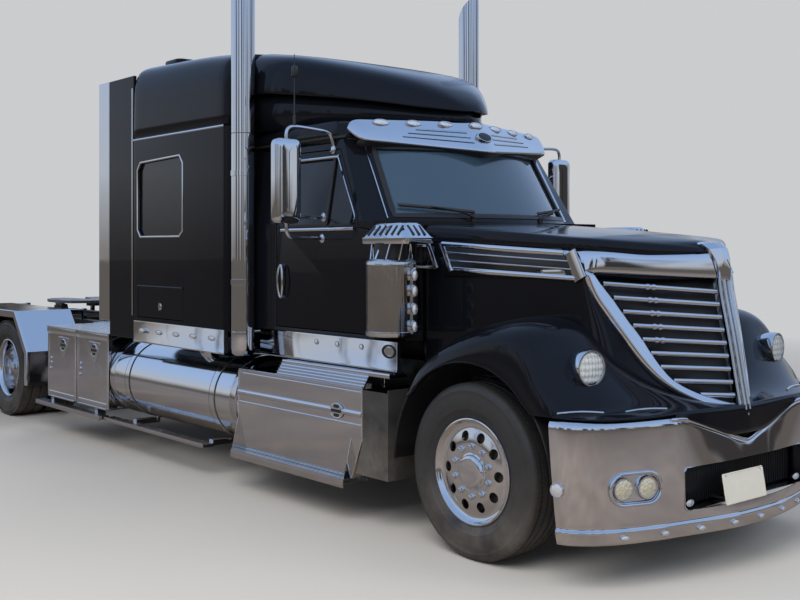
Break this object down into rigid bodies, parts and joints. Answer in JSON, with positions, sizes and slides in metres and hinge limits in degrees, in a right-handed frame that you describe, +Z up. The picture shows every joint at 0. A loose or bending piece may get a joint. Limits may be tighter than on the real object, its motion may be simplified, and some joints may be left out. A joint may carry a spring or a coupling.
{
  "type": "conventional highway tractor with sleeper",
  "caption": "Long-nose highway truck tractor with raised-roof sleeper, twin stacks, side tanks and tandem drive axles; wheels, steering, doors, hood and coupling plate move.",
  "frame": {"origin": "on the ground under the middle of the vehicle's length", "axes": "+X forward, +Y to the driver's left, +Z up"},
  "size_m": [10.27, 2.916, 3.96],
  "materials": {
    "frame_black": "satin black chassis paint",
    "body_black": "gloss black clearcoat",
    "chrome": "mirror chrome",
    "polished": "polished aluminium",
    "tyre": "black rubber with worn sheen",
    "rubber": "matt black rubber",
    "lamp_glass": "clear faceted lens",
    "cab_glass": "blue tinted glass",
    "dark_glass": "dark tinted glass",
    "cabin_plastic": "moulded dark plastic",
    "seat_leather": "dark grey leather",
    "bunk_fabric": "quilted grey fabric",
    "wheel_metal": "polished wheel metal",
    "amber_lens": "amber lens",
    "red_lens": "red lens",
    "clear_lens": "clear lens over bright reflector",
    "mirror_glass": "flat mirror glass",
    "black_trim": "black plastic and mesh",
    "blank_plate": "blank pale plate"
  },
  "bodies": {
    "chassis": {"air_cleaners": "chrome", "bumper": "chrome", "bumper_lamps": "lamp_glass", "bunk_mattress": "bunk_fabric", "cab_shell": "body_black", "cabin_bases": "cabin_plastic", "dashboard": "cabin_plastic", "deck_plate": "polished", "drive_axles": "frame_black", "drive_shafts": "frame_black", "engine_block": "frame_black", "exhaust_stacks": "chrome", "extender_trims": "chrome", "fifth_wheel_base": "frame_black", "frame_rails": "frame_black", "front_axle": "frame_black", "fuel_tanks": "polished", "mud_flaps": "rubber", "radiator": "frame_black", "rear_fenders": "polished", "rear_suspension": "frame_black", "roof": "body_black", "seats": "seat_leather", "side_extenders": "body_black", "side_skirts": "chrome", "sleeper_shell": "body_black", "sleeper_windows": "dark_glass", "step_boxes": "polished", "tail_light_bar": "frame_black", "tool_boxes": "polished", "visor": "chrome", "windshield": "cab_glass"},
    "hood": {"hood": "body_black", "grille": "chrome", "headlamps": "lamp_glass"},
    "knuckle_right": {"knuckle_right": "frame_black"},
    "knuckle_left": {"knuckle_left": "frame_black"},
    "tie_rod": {"tie_rod": "frame_black"},
    "front_wheel_right": {"front_wheel_right": "tyre"},
    "front_wheel_left": {"front_wheel_left": "tyre"},
    "cab_door_right": {"cab_door_right": "body_black", "door_glass_right": "cab_glass", "mirror_right": "chrome"},
    "cab_door_left": {"cab_door_left": "body_black", "door_glass_left": "cab_glass", "mirror_left": "chrome"},
    "luggage_door_right": {"luggage_door_right": "body_black"},
    "luggage_door_left": {"luggage_door_left": "body_black"},
    "fifth_wheel": {"fifth_wheel_plate": "frame_black"},
    "drive_wheels_front_left": {"drive_wheels_front_left": "tyre"},
    "tool_door_front_left": {"tool_door_front_left": "polished"},
    "drive_wheels_front_right": {"drive_wheels_front_right": "tyre"},
    "tool_door_front_right": {"tool_door_front_right": "polished"},
    "drive_wheels_rear_left": {"drive_wheels_rear_left": "tyre"},
    "tool_door_rear_left": {"tool_door_rear_left": "polished"},
    "drive_wheels_rear_right": {"drive_wheels_rear_right": "tyre"},
    "tool_door_rear_right": {"tool_door_rear_right": "polished"}
  },
  "joints": [
    {"name": "steer_right", "type": "hinge", "parent": "chassis", "child": "knuckle_right", "pos_m": [4.015, -0.9, 0.505], "axis": [0, 0, 1], "range_deg": [-38, 38]},
    {"name": "steer_left", "type": "hinge", "parent": "chassis", "child": "knuckle_left", "pos_m": [4.015, 0.9, 0.505], "axis": [0, 0, 1], "range_deg": [-38, 38]},
    {"name": "tie_rod_pivot", "type": "hinge", "parent": "knuckle_right", "child": "tie_rod", "pos_m": [3.835, -0.9, 0.361], "axis": [0, 0, 1], "range_deg": [-38, 38]},
    {"name": "front_wheel_right_spin", "type": "hinge", "parent": "knuckle_right", "child": "front_wheel_right", "pos_m": [4.015, -1.025, 0.505], "axis": [0, 1, 0], "continuous": true},
    {"name": "front_wheel_left_spin", "type": "hinge", "parent": "knuckle_left", "child": "front_wheel_left", "pos_m": [4.015, 1.025, 0.505], "axis": [0, 1, 0], "continuous": true},
    {"name": "drive_wheels_front_right_spin", "type": "hinge", "parent": "chassis", "child": "drive_wheels_front_right", "pos_m": [-3.045, -0.8985, 0.505], "axis": [0, 1, 0], "continuous": true},
    {"name": "drive_wheels_front_left_spin", "type": "hinge", "parent": "chassis", "child": "drive_wheels_front_left", "pos_m": [-3.045, 0.8985, 0.505], "axis": [0, 1, 0], "continuous": true},
    {"name": "drive_wheels_rear_right_spin", "type": "hinge", "parent": "chassis", "child": "drive_wheels_rear_right", "pos_m": [-4.365, -0.8985, 0.505], "axis": [0, 1, 0], "continuous": true},
    {"name": "drive_wheels_rear_left_spin", "type": "hinge", "parent": "chassis", "child": "drive_wheels_rear_left", "pos_m": [-4.365, 0.8985, 0.505], "axis": [0, 1, 0], "continuous": true},
    {"name": "cab_door_right_hinge", "type": "hinge", "parent": "chassis", "child": "cab_door_right", "pos_m": [3.034, -1.068, 1.8], "axis": [0, 0, 1], "range_deg": [0, 65]},
    {"name": "cab_door_left_hinge", "type": "hinge", "parent": "chassis", "child": "cab_door_left", "pos_m": [3.034, 1.068, 1.8], "axis": [0, 0, -1], "range_deg": [0, 65]},
    {"name": "hood_tilt", "type": "hinge", "parent": "chassis", "child": "hood", "pos_m": [5.055, 0, 0.72], "axis": [0, 1, 0], "range_deg": [0, 62]},
    {"name": "luggage_door_right_hinge", "type": "hinge", "parent": "chassis", "child": "luggage_door_right", "pos_m": [0.415, -1.223, 1.457], "axis": [-1, 0, 0], "range_deg": [0, 80]},
    {"name": "luggage_door_left_hinge", "type": "hinge", "parent": "chassis", "child": "luggage_door_left", "pos_m": [0.415, 1.223, 1.457], "axis": [1, 0, 0], "range_deg": [0, 80]},
    {"name": "tool_door_front_right_hinge", "type": "hinge", "parent": "chassis", "child": "tool_door_front_right", "pos_m": [-0.925, -1.206, 0.334], "axis": [1, 0, 0], "range_deg": [0, 88]},
    {"name": "tool_door_front_left_hinge", "type": "hinge", "parent": "chassis", "child": "tool_door_front_left", "pos_m": [-0.925, 1.206, 0.334], "axis": [-1, 0, 0], "range_deg": [0, 88]},
    {"name": "tool_door_rear_right_hinge", "type": "hinge", "parent": "chassis", "child": "tool_door_rear_right", "pos_m": [-1.62, -1.206, 0.334], "axis": [1, 0, 0], "range_deg": [0, 88]},
    {"name": "tool_door_rear_left_hinge", "type": "hinge", "parent": "chassis", "child": "tool_door_rear_left", "pos_m": [-1.62, 1.206, 0.334], "axis": [-1, 0, 0], "range_deg": [0, 88]},
    {"name": "fifth_wheel_tilt", "type": "hinge", "parent": "chassis", "child": "fifth_wheel", "pos_m": [-3.535, 0, 1.105], "axis": [0, 1, 0], "range_deg": [-8, 12]}
  ],
  "couplings": [
    {"joint": "steer_left", "follows": "steer_right", "ratio": 1},
    {"joint": "tie_rod_pivot", "follows": "steer_right", "ratio": -1}
  ]
}
